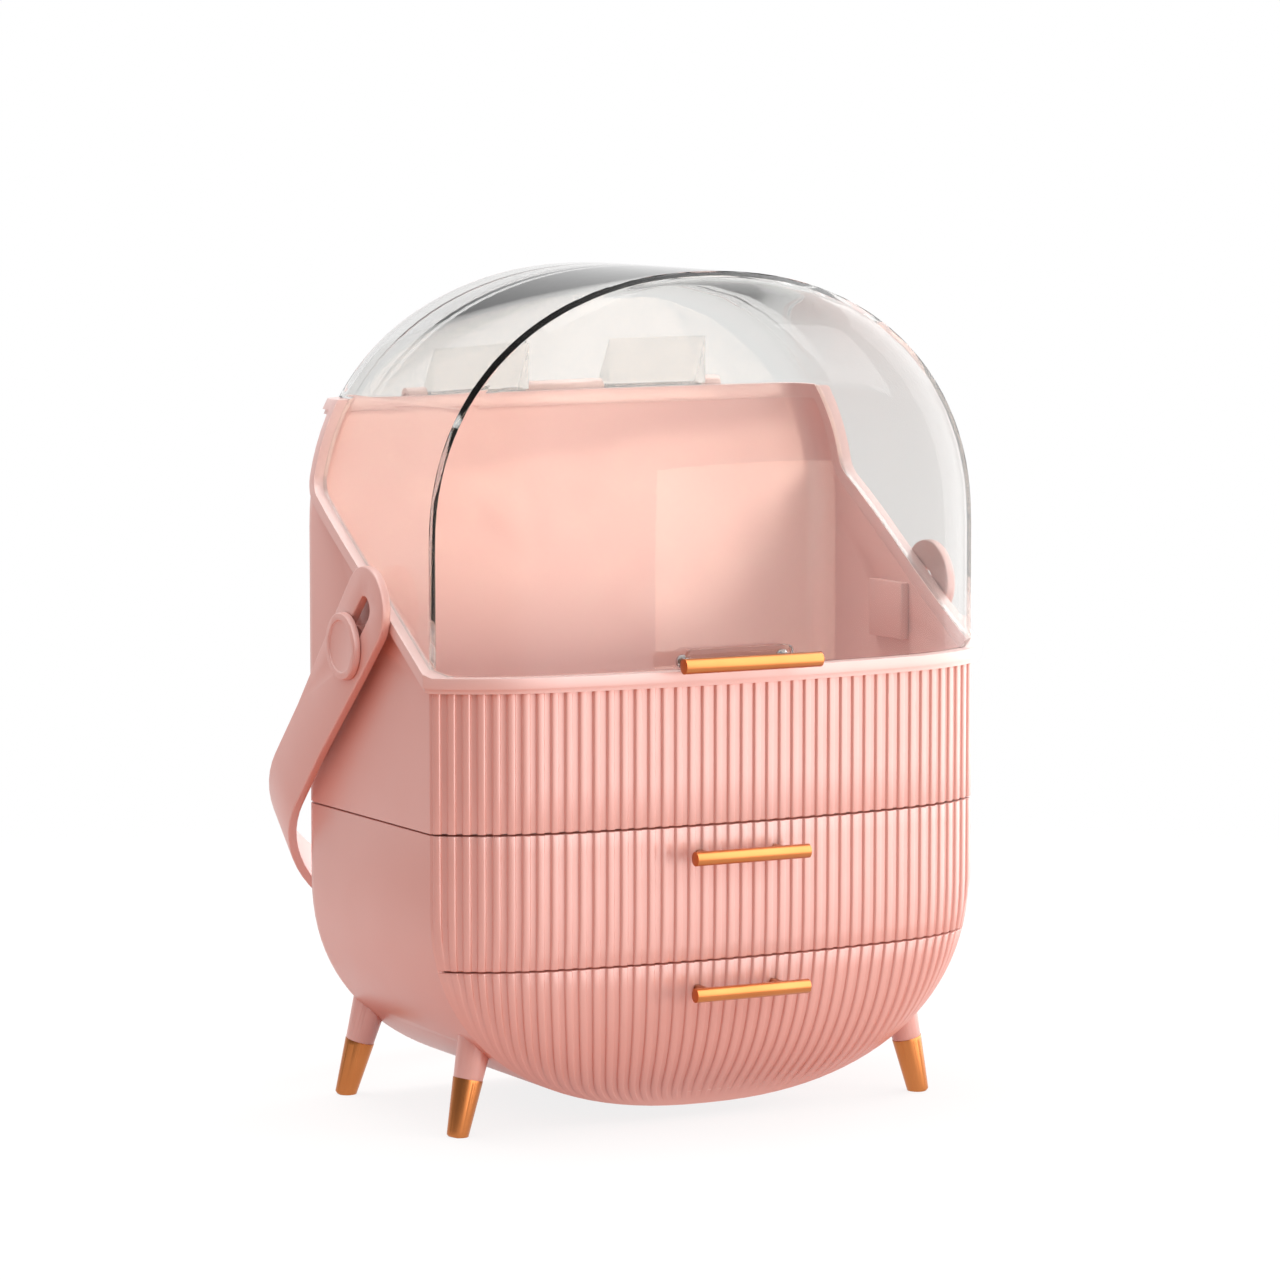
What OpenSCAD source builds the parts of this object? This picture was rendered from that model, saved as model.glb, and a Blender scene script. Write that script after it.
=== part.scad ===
// Egg-shaped cosmetic storage case: a clear dome lid over a display tray, two fluted drawers
// below it, a U-shaped carry handle with slotted ears, and four splayed legs with metal caps.
// X runs across the case, Y from front (negative) to back, Z up from the floor.

/* [Case outline] */
// Width of the case between its flat side walls
case_w = 260; // [240:1:290]
// Depth of the flat side walls, from the front corner to the back face
side_d = 126; // [115:1:150]
// Height of the widest level of the rounded lower part above the floor
belly_z = 99; // [96:1:106]
// Drop of the rounded lower part below its widest level
belly_drop = 92.6; // [88:0.2:94]
// Height above the floor at which the arch of the lid starts
arch_z = 248.5; // [240:0.5:262]
// Rise of the arch above that level
arch_rise = 110.8; // [100:0.2:125]
// Fullness of the lower curve, 2 being an ellipse
belly_full = 2.3; // [2:0.05:2.6]
// Fullness of the arch, 2 being an ellipse
arch_full = 2.17; // [2:0.01:2.4]
// Radius of the rounded edge around the back face
back_round = 12; // [8:0.5:16]
// Thickness of the moulded walls
wall = 3; // [2.4:0.1:3.6]

/* [Bowed front] */
// Radius of the nearly flat middle of the bowed front
front_r = 580; // [450:10:800]
// Half width of that middle
front_half = 87; // [75:1:95]
// Radius of the rounded shoulders of the bowed front
shoulder_r = 85; // [78:1:100]
// Number of ribs across the front
rib_count = 44; // [30:1:52]
// Height of one rib above the valleys beside it
rib_h = 1.2; // [0.6:0.1:1.6]

/* [Tray and rim] */
// Height of the joint between the tray and the lower shell
joint_z = 129.7; // [127:0.1:132]
// Height of the front wall of the tray, where the rim band starts
front_top_z = 188.5; // [184:0.5:194]
// Slope of the side walls towards the back
rim_slope = 32.5; // [28:0.5:34]
// Distance of the slope's foot behind the front corner, negative ahead of it
rim_foot_y = -2.5; // [-5:0.5:2]
// Height of the back wall of the tray
back_top_z = 296.5; // [290:0.5:300]
// Depth of the upright stretch of the rim ahead of the back face
rim_back = 13; // [11:0.5:16]
// Radius of the bend between the sloping and the upright rim
rim_bend = 16; // [12:0.5:20]
// Height of the rim band, square to the edge that it caps
band_h = 6.5; // [5:0.5:8]
// Distance by which the rim band stands proud of the walls
band_proud = 4; // [3:0.1:4.4]
// Height of the set-back lip along the lower edge of the rim band
lip_h = 2; // [1:0.1:2.6]
// Distance by which that lip is set back
lip_in = 1.2; // [0.6:0.1:1.8]

/* [Lid] */
// Thickness of the clear lid
lid_t = 3; // [2.4:0.1:3.6]
// Gap between the rim band and the closed lid
lid_gap = 0.4; // [0.3:0.05:0.8]
// Diameter of the hinge barrel
barrel_d = 8; // [7:0.2:9]
// Diameter of the hinge pin
pin_d = 3; // [2.4:0.1:3.4]
// Length of each hinge on the lid
hinge_w = 48; // [36:1:56]
// Distance between the middle of each hinge and the middle of the case
hinge_x = 44; // [38:1:52]
// Width of the clear finger tab on the lid
tab_w = 50; // [40:1:64]
// Height of the clear finger tab
tab_h = 8.4; // [7.4:0.2:12]

/* [Drawers] */
// Height of the joint between the two drawers
split_z = 72.4; // [70:0.1:75]
// Gap seen between neighbouring fronts
front_gap = 0.8; // [0.6:0.1:1.2]
// Depth of the drawer boxes behind the front corner
box_d = 108; // [90:1:110]
// Thickness of the drawer box walls
box_t = 2.4; // [1.8:0.1:2.8]
// Gap between a drawer flange and the runner below it
run_gap = 0.3; // [0.2:0.05:0.5]
// Thickness of the flanges that the drawers hang on
flange_t = 2.4; // [2:0.1:3]
// Depth of the runners below the flanges
runner_h = 3; // [2.4:0.1:4]
// Thickness of the shelf between the drawers
shelf_t = 2; // [1.6:0.1:2.4]

/* [Metal bars] */
// Diameter of the round bars on the drawers
bar_d = 6; // [5:0.1:7]
// Length of the round bars on the drawers
bar_len = 54; // [44:1:66]
// Diameter of the round bar on the lid
lid_bar_d = 6.4; // [5.4:0.1:7]
// Length of the round bar on the lid
lid_bar_len = 65; // [50:1:76]
// Distance from the crown of the bowed front to the axis of each bar
bar_off = 13; // [11:0.5:15]
// Depth of the bar's axis below the top of its drawer
bar_drop = 12; // [10:0.5:18]
// Diameter of the posts that carry the bars
post_d = 4; // [3:0.1:4.6]
// Distance of each post from the end of its bar
post_inset = 9; // [7:0.5:14]

/* [Handle] */
// Height of the handle pivots above the floor
pivot_z = 202.7; // [200:0.1:205]
// Distance of the handle pivots behind the front corner
pivot_y = 61.5; // [60:0.5:64]
// Angle at which the handle hangs behind the case, below the horizontal
hang = 45; // [44:0.5:46]
// Width of the strap
strap_w = 29; // [27:0.5:31]
// Thickness of the strap
strap_t = 4; // [3.4:0.1:4.6]
// Gap between the rim band and the strap
strap_gap = 0.6; // [0.5:0.05:0.9]
// Radius of the rounded ears
ear_r = 18; // [17:0.5:19]
// Travel of the handle along its slots
slot_travel = 24; // [18:0.5:25]
// Diameter of the pivot pins
pivot_d = 10; // [8:0.2:11]
// Running clearance of the pins in slots and bores, all round
pivot_clear = 0.3; // [0.2:0.05:0.4]
// Length of the straight arms beyond the pivots
arm_len = 90; // [89:0.5:98]
// Depth of the rounded bow of the handle beyond its arms
bow_len = 110; // [100:1:124]
// Fullness of the bow, 2 being an ellipse
bow_full = 1.8; // [1.7:0.05:2.2]
// Diameter of the round buttons
button_d = 29; // [26:0.5:32]
// Height of the buttons above the strap
button_h = 3; // [2.4:0.1:3.6]

/* [Legs] */
// Distance of the front feet behind the front corner
foot_front_y = 12; // [10:0.5:16]
// Distance of the rear feet ahead of the back face
foot_back_y = 4; // [3:0.5:10]
// Distance of each foot inside the flat side wall above it
foot_in = 18; // [16:0.5:22]
// Diameter at the foot of the metal cap
foot_d = 9.2; // [8:0.2:10.6]
// Diameter at the mouth of the metal cap
cap_d = 12.8; // [11.6:0.2:14]
// Length of the metal cap
cap_len = 25; // [22:0.5:27]
// Sideways splay of the legs
splay_side = 13; // [10:0.5:15]
// Splay of the front legs towards the front
splay_front = 2; // [0:0.5:5]
// Splay of the rear legs towards the back
splay_back = 8; // [6:0.5:10]

/* [Hidden] */
a = case_w / 2;
mid_angle = asin(front_half / front_r);
edge_angle = asin(sin(mid_angle) + (a - front_half) / shoulder_r);
mid_arc = front_r * mid_angle * PI / 180;
half_arc = mid_arc + shoulder_r * (edge_angle - mid_angle) * PI / 180;
bow = front_r * (1 - cos(mid_angle)) + shoulder_r * (cos(mid_angle) - cos(edge_angle));

egg_steps = 28;       // points on each half of the outline
plan_steps = 36;      // points on a smooth bowed curve
bowl_steps = 10;      // rings on the rounded part of a front
bow_steps = 48;       // points on the bow of the handle
round_steps = 4;      // rings on the rounded edge of the back face
seat_gap = 0.3;       // gap between a closed drawer front and the shell
plate_gap = 0.2;      // gap round the plate that closes the back of a drawer front
foot_x = a - foot_in;
ledge_drop = 8.4;     // depth of the flanges of the upper drawer below the joint
ledge_z = joint_z - ledge_drop;
lower_top = split_z - 4.4;  // top of the lower drawer box
lower_gap = 2;        // gap between the lower box and the shell
upper_side = 5.6;     // distance of the upper box walls from the widest inner wall
side_free = 1.2;      // distance of the upper flanges from the widest inner wall
runner_free = 0.6;    // gap between a runner and the wall of the box beside it
shelf_z = split_z - 0.2;
shelf_corner = 8;     // cut corner of the shelf at the back
box_y = -seat_gap - 0.2;    // front end of the drawer boxes
plate_y = -seat_gap - 0.1;  // back face of the plate that closes a drawer front
base_z = joint_z + front_gap / 2;  // underside of the tray floor
floor_t = 3;          // thickness of the tray floor
skirt_t = 1.8;        // thickness of the locating skirt under the tray
skirt_h = 3.4;        // depth of that skirt
skirt_y = 12;         // distance of the skirt behind the front corner
hinge_gap = 0.3;      // gap between hinge parts
hinge_y = side_d + band_proud + barrel_d / 2 + hinge_gap;
lid_z = back_top_z + band_h + lid_gap;
hinge_z = lid_z - 0.4;
knuckle_w = 10;       // length of the outer knuckles
pin_grip = 8;         // depth of a hinge pin in the knuckles beside its lug
pin_fit = 0.08;       // running clearance of the lugs on the pins, all round
lug_h = 22;           // height of the lugs on the back of the lid
tab_t = 3;            // thickness of the finger tab
tab_round = 2.5;      // corner radius of the finger tab
screw_d = 3;
screw_head = 6;
bar_screw_d = 1.6;    // screws that hold the bars
bar_screw_grip = 6;   // reach of these screws into the posts
bar_screw_seat = 0.5; // sink of their heads' seats behind the fronts
bar_head_h = 2;       // height of their heads
post_sink = 0.3;      // depth of the posts in their spot faces
box_screw_d = 2.2;    // screws that hold the drawer fronts
box_screw_len = 9;    // reach of these screws ahead of the front corner
box_head_h = 1.6;     // height of their heads
upper_screw_in = 32;  // distance of the upper ones from the flat side walls
lower_screw_in = 44;  // the same of the lower ones
lower_screw_z = 20;   // distance of the lower ones below the top of their drawer
boss_d = 7;           // bosses that these screws bite in
bar_y = -bow - bar_off;
upper_bar_z = joint_z - bar_drop;
lower_bar_z = split_z - bar_drop;
lid_front_z = front_top_z + band_h + lid_gap;
lid_bar_z = lid_front_z + 2.8;
strap_in = a + band_proud + strap_gap;
strap_out = strap_in + strap_t;
slot_w = pivot_d + 2 * pivot_clear;
dish_rim = 3.5;       // width of the rim round the dish in a button
dish_depth = 0.7;
side_gap = 0.3;       // gap beside the strap, to its spacers and to its buttons
ear_w = strap_w + 5.6;      // width of the arm at its pivot
ear_taper = 56;       // length over which the arm narrows to the strap
flange_d = pivot_d + 4;     // flange that keeps a pivot in its wall
pivot_flange_t = 1.6;
retainer_t = 4;       // thickness of the retainers inside the walls
retainer_w = 28;      // length of the retainers along the walls
retainer_low = 9;     // reach of the retainers below the pivots
retainer_high = 16;   // reach of the retainers above the pivots
leg_top = 34;         // length of the moulded leg, before it is cut to the shell
stud_grip = 14;       // depth of the studs in the metal caps
foot_flat = 0.5;      // depth of the flat that each foot stands on
foot_edge = 0.8;      // bevel round the foot
reach = 400;          // larger than any cut needs

// Extent of the whole object, which sets the place of the origin
case_front = bar_y - lid_bar_d / 2;
handle_back = pivot_y + (arm_len + bow_len + strap_t) * cos(hang) + strap_w / 2 * sin(hang);
case_y = -(case_front + handle_back) / 2;

pink = [0.86, 0.66, 0.63];
pale_pink = [0.94, 0.82, 0.80];
gold = [0.90, 0.66, 0.40];
clear = [0.86, 0.88, 0.90, 0.35];

// ---------- outlines ----------

// Half width of the egg at a height, drawn in by an inset
function belly_s(z, inset = 0) =
    pow(1 - pow(max(0, min(1, (belly_z - z) / (belly_drop - inset))), belly_full), 1 / belly_full);

// Outline of the egg in X and Z, counter-clockwise from the lowest point
function egg(inset = 0) = concat(
    [for (i = [0 : egg_steps]) let (q = i * 90 / egg_steps)
        [(a - inset) * pow(sin(q), 2 / belly_full),
         belly_z - (belly_drop - inset) * pow(cos(q), 2 / belly_full)]],
    [for (i = [0 : egg_steps]) let (q = i * 90 / egg_steps)
        [(a - inset) * pow(cos(q), 2 / arch_full),
         arch_z + (arch_rise - inset) * pow(sin(q), 2 / arch_full)]],
    [for (i = [1 : egg_steps]) let (q = 90 - i * 90 / egg_steps)
        [-(a - inset) * pow(cos(q), 2 / arch_full),
         arch_z + (arch_rise - inset) * pow(sin(q), 2 / arch_full)]],
    [for (i = [0 : egg_steps - 1]) let (q = 90 - i * 90 / egg_steps)
        [-(a - inset) * pow(sin(q), 2 / belly_full),
         belly_z - (belly_drop - inset) * pow(cos(q), 2 / belly_full)]]);

// Angle of the bowed front at a share of its half arc
function plan_angle(t) = let (s = abs(t) * half_arc)
    s < mid_arc ? s / front_r * 180 / PI
                : mid_angle + (s - mid_arc) / shoulder_r * 180 / PI;

// Point of the bowed front in plan, t from -1 at the left corner to 1 at the right one
function plan_point(t, out = 0) = let (q = plan_angle(t), side = sign(t))
    [side * ((q < mid_angle ? front_r * sin(q)
              : front_half + shoulder_r * (sin(q) - sin(mid_angle))) + out * sin(q)),
     (q < mid_angle ? front_r * (1 - cos(q))
      : front_r * (1 - cos(mid_angle)) + shoulder_r * (cos(mid_angle) - cos(q)))
     - bow - out * cos(q)];

// Smooth bowed curve, shifted outwards by a distance
function plan_curve(out = 0) =
    [for (i = [0 : plan_steps]) plan_point(-1 + 2 * i / plan_steps, out)];

// One rib, as shares of the pitch and of the height: a low arch between two valleys
rib_profile = [[0, 0], [0.25, 0.72], [0.5, 1], [0.75, 0.72]];

// Ribbed bowed curve
function ribbed_curve(h = rib_h) = concat(
    [for (i = [0 : rib_count - 1]) for (r = rib_profile)
        plan_point(-1 + 2 * (i + r[0]) / rib_count, h * r[1])],
    [plan_point(1)]);

// Share of the rib height that is left where the front has shrunk to a share of its width
function rib_fade(s) = max(0, min(1, (s - 0.36) / 0.22));

// ---------- lofts ----------

// Closed solid through rings of equally many points
module loft(rings) {
    n = len(rings[0]);
    m = len(rings);
    polyhedron(
        points = [for (r = rings) for (p = r) p],
        faces = concat(
            [[for (i = [n - 1 : -1 : 0]) i]],
            [for (k = [0 : m - 2]) for (i = [0 : n - 1]) let (j = (i + 1) % n)
                [k * n + i, k * n + j, (k + 1) * n + j, (k + 1) * n + i]],
            [[for (i = [0 : n - 1]) (m - 1) * n + i]]),
        convexity = 6);
}

// Egg pushed back along Y, with a rounded edge round its back face
module egg_block(inset = 0, front = 0, back = side_d) {
    r = back_round - inset;
    levels = concat([[inset, front]],
        [for (k = [0 : round_steps]) let (q = k * 90 / round_steps)
            [inset + r * (1 - cos(q)), back - r + r * sin(q)]]);
    loft([for (l = levels) [for (p = egg(l[0])) [p[0], l[1], p[1]]]]);
}

// Hollow egg between two insets, open at the front
module egg_shell(outer, inner) {
    difference() {
        egg_block(outer, 0, side_d - outer);
        egg_block(inner, -1, side_d - inner);
    }
}

// Rings of a bowed front that shrinks with the egg towards one end
function bowl_levels(top, inset = 0) = concat(
    top > belly_z ? [top] : [],
    [for (i = [0 : bowl_steps]) let (z = belly_z - (belly_drop - inset)
        * pow(sin(i * 84 / bowl_steps), 2 / belly_full)) if (z < top) z]);

// Ribbed solid of a drawer front between two heights
module ribbed_front(levels) {
    loft([for (z = levels) let (s = belly_s(z))
        [for (p = ribbed_curve(rib_h * rib_fade(s))) [p[0] * s, p[1] * s, z]]]);
}

// Smooth hollow behind a bowed front, open at the back
module bowed_hollow(levels, inset) {
    loft([for (z = levels) let (s = belly_s(z, inset), k = (a - inset) / a, c = (bow - inset) / bow)
        concat([[-(a - inset) * s, 2, z]],
               [for (p = plan_curve()) [p[0] * s * k, p[1] * s * c, z]],
               [[(a - inset) * s, 2, z]])]);
}

// ---------- the line of the rim, seen from the side ----------

// Rim line shifted towards the lid by a distance, from the front to beyond the back
function rim_line(off = 0) =
    let (up_y = side_d - rim_back,
         foot = rim_foot_y + (off - off / cos(rim_slope)) / tan(rim_slope),
         r = rim_bend,
         cy = up_y - r,
         cz = front_top_z + (cy - rim_foot_y) * tan(rim_slope) + r / cos(rim_slope))
    concat([[-reach, front_top_z + off], [foot, front_top_z + off]],
        [for (i = [0 : 6]) let (q = -(90 - rim_slope) * (1 - i / 6))
            [cy + (r - off) * cos(q), cz + (r - off) * sin(q)]],
        [[up_y - off, back_top_z + off], [reach, back_top_z + off]]);

// Slab of the side view between the floor and the rim line
module below_rim(off = 0, low = joint_z) {
    rotate([90, 0, 90]) translate([0, 0, -reach / 2]) linear_extrude(reach)
        polygon(concat([[-reach, low]], rim_line(off), [[reach, low]]));
}

// Slab of the side view above the rim line
module above_rim(off) {
    rotate([90, 0, 90]) translate([0, 0, -reach / 2]) linear_extrude(reach)
        polygon(concat([[-reach, reach]], rim_line(off), [[reach, reach]]));
}

// ---------- helpers for placing ----------

module at_case() { translate([0, case_y, 0]) children(); }

module sides() { for (s = [-1, 1]) scale([s, 1, 1]) children(); }

// Frame of the hanging handle: Y runs along its arms, Z square to them
module at_handle() { translate([0, pivot_y, pivot_z]) rotate([-hang, 0, 0]) children(); }

// Cylinder along X from one place to another
module rod_x(d, x0, x1) {
    translate([x0, 0, 0]) rotate([0, 90, 0]) cylinder(d = d, h = x1 - x0, $fn = 48);
}

// Cylinder along Y from one place to another
module rod_y(d, y0, y1) {
    translate([0, y0, 0]) rotate([-90, 0, 0]) cylinder(d = d, h = y1 - y0, $fn = 32);
}

// ---------- tray, rim and lower shell ----------

// Plan area between the bowed front and the back, drawn in by an inset
module plan_area(inset) {
    polygon(concat(plan_curve(-inset), [[a - inset, 0], [a - inset, side_d - back_round],
        [a - back_round, side_d - inset], [back_round - a, side_d - inset],
        [inset - a, side_d - back_round], [inset - a, 0]]));
}

// Upper body: fluted front wall, flat sides rising to the back wall, and the display floor
module tray() {
    color(pink) at_case() difference() {
        intersection() {
            union() {
                egg_shell(0, wall);
                // fluted front wall, lapped into the side walls
                linear_extrude(front_top_z) polygon(concat(
                    [[-a, 1]], ribbed_curve(), [[a, 1], [a - wall, 1]],
                    [for (i = [plan_steps : -1 : 0]) let (p = plan_point(-1 + 2 * i / plan_steps))
                        [p[0] * (a - wall) / a, p[1] * (bow - wall) / bow]],
                    [[wall - a, 1]]));
                // display floor
                translate([0, 0, base_z]) linear_extrude(floor_t) plan_area(wall / 2);
                // skirt that locates the tray inside the lower shell
                translate([0, skirt_y, base_z - skirt_h]) linear_extrude(skirt_h + 1) difference() {
                    skirt_area(wall + run_gap);
                    skirt_area(wall + run_gap + skirt_t);
                }
            }
            below_rim(0, base_z - skirt_h);
        }
        // everything of the walls below the joint, outside the skirt
        difference() {
            translate([-reach / 2, -reach / 2, 0]) cube([reach, reach, base_z]);
            translate([0, skirt_y, 0]) linear_extrude(reach) skirt_area(wall + run_gap);
        }
        // bores of the handle pivots
        translate([0, pivot_y, pivot_z]) rod_x(pivot_d + 2 * pivot_clear, -a - 1, a + 1);
    }
}

// Plan of the skirt, open towards the drawers
module skirt_area(inset) {
    w = a - inset;
    d = side_d - skirt_y - inset;
    c = back_round - inset;
    polygon([[-w, 0], [w, 0], [w, d - c], [w - c, d], [c - w, d], [-w, d - c]]);
}

// Outer edge of the band in plan, from the left side round the front to the right side
function band_edge(proud) =
    let (end = plan_point(1, proud), mitre = end[1] + (a + proud - end[0]) * tan(edge_angle))
    concat([[-a - proud, 1], [-a - proud, mitre]], plan_curve(proud),
           [[a + proud, mitre], [a + proud, 1]]);

// Raised band that caps the rim all round, with a set-back lip along its lower edge
module rim_band() {
    lip_proud = band_proud - lip_in;
    color(pale_pink) at_case() difference() {
        intersection() {
            union() {
                egg_shell(-band_proud, wall);
                linear_extrude(front_top_z + 2 * band_h) polygon(concat(
                    band_edge(band_proud), [[a - wall, 1]],
                    [for (i = [plan_steps : -1 : 0]) let (p = plan_point(-1 + 2 * i / plan_steps))
                        [p[0] * (a - wall) / a, p[1] * (bow - wall) / bow]],
                    [[wall - a, 1]]));
            }
            below_rim(band_h, front_top_z - 1);
        }
        below_rim(0, 0);
        difference() {
            below_rim(lip_h, 0);
            egg_block(-lip_proud, 0, side_d + lip_proud);
            linear_extrude(reach) polygon(band_edge(lip_proud));
        }
    }
}

// Rounded lower shell that houses both drawers, open at the front
module lower_shell() {
    color(pink) at_case() difference() {
        intersection() {
            egg_shell(0, wall);
            translate([-reach / 2, 0, 0]) cube([reach, reach, joint_z - front_gap / 2]);
        }
        // holes for the studs of the legs
        each_leg() translate([0, 0, cap_len]) cylinder(d = screw_d + 0.4, h = 2 * leg_top, $fn = 24);
    }
}

// Shelf between the two drawers
module drawer_shelf() {
    w = (a - wall) * belly_s(shelf_z, wall) - 0.4;
    d = side_d - wall - 0.5;
    color(pink) at_case() translate([0, 0, shelf_z]) linear_extrude(shelf_t)
        polygon([[-w, 1], [w, 1], [w, d - shelf_corner], [w - shelf_corner, d],
                 [shelf_corner - w, d], [-w, d - shelf_corner]]);
}

// Strip between two insets of the egg and two heights, along the depth of a drawer
module egg_strip(outer, inner, z0, z1, y0, y1) {
    translate([0, y1, 0]) rotate([90, 0, 0]) linear_extrude(y1 - y0) intersection() {
        difference() { polygon(egg(outer)); polygon(egg(inner)); }
        translate([-reach / 2, z0]) square([reach, z1 - z0]);
    }
}

// Runners under the flanges of the upper drawer
module upper_runners() {
    color(pink) at_case()
        egg_strip(wall, wall + upper_side - runner_free, ledge_z - run_gap - runner_h,
                  ledge_z - run_gap, 2, side_d - back_round);
}

// Runners under the flanges of the lower drawer
module lower_runners() {
    z = lower_top - flange_t - run_gap;
    color(pink) at_case()
        egg_strip(wall, wall + lower_gap - 0.5, z - runner_h, z, 2, side_d - back_round);
}

// ---------- hinge ----------

// Moulded knuckles on the back of the rim, beside and between the lugs of the lid
module hinge_knuckles() {
    inner = hinge_x - hinge_w / 2 - hinge_gap;
    outer = hinge_x + hinge_w / 2 + hinge_gap;
    color(pale_pink) at_case() difference() {
        union() {
            knuckle(-inner, inner, side_d + band_proud);
            sides() knuckle(outer, outer + knuckle_w, side_d + band_proud);
        }
        translate([0, hinge_y, hinge_z]) rod_x(pin_d, -a, a);
    }
}

// One knuckle on a web that reaches forward and down to the band
module knuckle(x0, x1, face) {
    translate([0, hinge_y, hinge_z]) rod_x(barrel_d, x0, x1);
    translate([x0, face, hinge_z - barrel_d]) cube([x1 - x0, hinge_y - face, barrel_d]);
}

// Steel pins of the two hinges
module hinge_pins() {
    color("silver") at_case() translate([0, hinge_y, hinge_z]) sides()
        rod_x(pin_d, hinge_x - hinge_w / 2 - pin_grip, hinge_x + hinge_w / 2 + pin_grip);
}

// Clear lugs moulded on the back of the lid
module lid_lugs() {
    color(clear) at_case() difference() {
        sides() {
            x0 = hinge_x - hinge_w / 2;
            translate([0, hinge_y, hinge_z]) rod_x(barrel_d, x0, x0 + hinge_w);
            // web from the barrel up to the back of the dome
            translate([x0, 0, 0]) rotate([90, 0, 90]) linear_extrude(hinge_w) polygon([
                [hinge_y - 1, hinge_z], [hinge_y + barrel_d / 2, hinge_z],
                [side_d, hinge_z + lug_h], [side_d, lid_z + 0.6]]);
        }
        translate([0, hinge_y, hinge_z]) rod_x(pin_d + 2 * pin_fit, -a, a);
        // stays clear of the rim band while it turns
        translate([-a, 0, lid_z - barrel_d]) cube([case_w, side_d + band_proud + hinge_gap, barrel_d]);
    }
}

// ---------- lid ----------

// Clear arched roof with its sides and back
module lid_dome() {
    color(clear) at_case() intersection() {
        egg_shell(0, lid_t);
        above_rim(band_h + lid_gap);
    }
}

// Levels of the clear front, from the rim to the crown of the arch
function crown_levels(inset) = concat([lid_front_z - (inset > 0 ? 1 : 0)],
    [for (i = [0 : bowl_steps]) arch_z + (arch_rise - inset) * pow(sin(i * 84 / bowl_steps), 2 / arch_full)]);

function arch_s(z, inset) =
    pow(1 - pow(max(0, min(1, (z - arch_z) / (arch_rise - inset))), arch_full), 1 / arch_full);

// Bowed solid under the arch, drawn in by an inset and reaching back to a depth
module crown(inset, back) {
    loft([for (z = crown_levels(inset)) let (s = arch_s(z, inset))
        concat([for (i = [plan_steps : -1 : 0]) let (p = plan_point(-1 + 2 * i / plan_steps))
                    [p[0] * s * (a - inset) / a, p[1] * s * (bow - inset) / bow, z]],
               back > 0 ? [[-(a - inset) * s, back, z], [(a - inset) * s, back, z]] : [])]);
}

// Clear bowed front of the lid, with the hole for its bar's screws
module lid_front() {
    color(clear) at_case() difference() {
        intersection() {
            crown(0, 0);
            above_rim(band_h + lid_gap);
        }
        crown(lid_t, 2);
        at_posts(lid_bar_len, lid_bar_z) rod_y(bar_screw_d + 0.4, -bow - 1, 0);
    }
}

// Clear finger tab standing behind the lid's bar
module lid_tab() {
    y0 = -bow - seat_gap - tab_t;
    color(clear) at_case() difference() {
        translate([0, y0 + tab_t, lid_front_z]) rotate([90, 0, 0]) linear_extrude(tab_t) {
            translate([-tab_w / 2, 0]) square([tab_w, tab_h - tab_round]);
            translate([tab_round - tab_w / 2, 0]) square([tab_w - 2 * tab_round, tab_h]);
            for (s = [-1, 1]) translate([s * (tab_w / 2 - tab_round), tab_h - tab_round])
                circle(tab_round, $fn = 32);
        }
        at_posts(lid_bar_len, lid_bar_z) rod_y(post_d + 0.2, y0 - 1, y0 + tab_t + 1);
    }
}

// Places of the two posts behind a bar
module at_posts(len, z) {
    for (s = [-1, 1]) translate([s * (len / 2 - post_inset), 0, z]) children();
}

// Seat of a bar's posts in the valleys of a fluted drawer front
function front_y(z) = post_sink - seat_gap - bow * belly_s(z);

// Spot faces for the two posts of a bar, with the holes for their screws
module bar_seats(len, z, seat_y) {
    at_posts(len, z) {
        rod_y(post_d + 0.2, -reach / 2, seat_y);
        rod_y(bar_screw_d + 0.4, seat_y - 1, 0);
    }
}

// Round bar with its two posts; the posts end at the surface that they stand on
module bar(d, len, z, seat_y) {
    color(gold) at_case() difference() {
        union() {
            translate([0, bar_y, z]) rod_x(d, -len / 2, len / 2);
            at_posts(len, z) rod_y(post_d, bar_y, seat_y);
        }
        at_posts(len, z) rod_y(bar_screw_d, bar_y + d / 2, seat_y + 1);
    }
}

// Screws that hold a bar from behind its front
module bar_screws(len, z, seat_y) {
    color("silver") at_case() at_posts(len, z) {
        rod_y(bar_screw_d, seat_y - bar_screw_grip, seat_y + bar_screw_seat);
        rod_y(screw_head, seat_y + bar_screw_seat, seat_y + bar_screw_seat + bar_head_h);
    }
}

module lid_bar() { bar(lid_bar_d, lid_bar_len, lid_bar_z, -bow); }
module lid_bar_screws() { bar_screws(lid_bar_len, lid_bar_z, -bow + lid_t + 0.2); }

// ---------- drawers ----------

// Fluted front of the upper drawer, hollow behind
module upper_front() {
    low = split_z + front_gap / 2;
    top = joint_z - front_gap / 2;
    levels = concat([top], [for (k = [0 : 4]) belly_z - (belly_z - low) * k / 4]);
    hollow = concat([top - wall], [for (k = [0 : 4]) belly_z - (belly_z - low - wall) * k / 4]);
    color(pink) at_case() difference() {
        translate([0, -seat_gap, 0]) difference() {
            ribbed_front(levels);
            difference() {
                bowed_hollow(hollow, wall);
                at_upper_screws() rod_y(boss_d, -bow, seat_gap + plate_y - box_t);
            }
        }
        bar_seats(bar_len, upper_bar_z, front_y(upper_bar_z));
        at_upper_screws() rod_y(box_screw_d, -box_screw_len, 0);
    }
}

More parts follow.
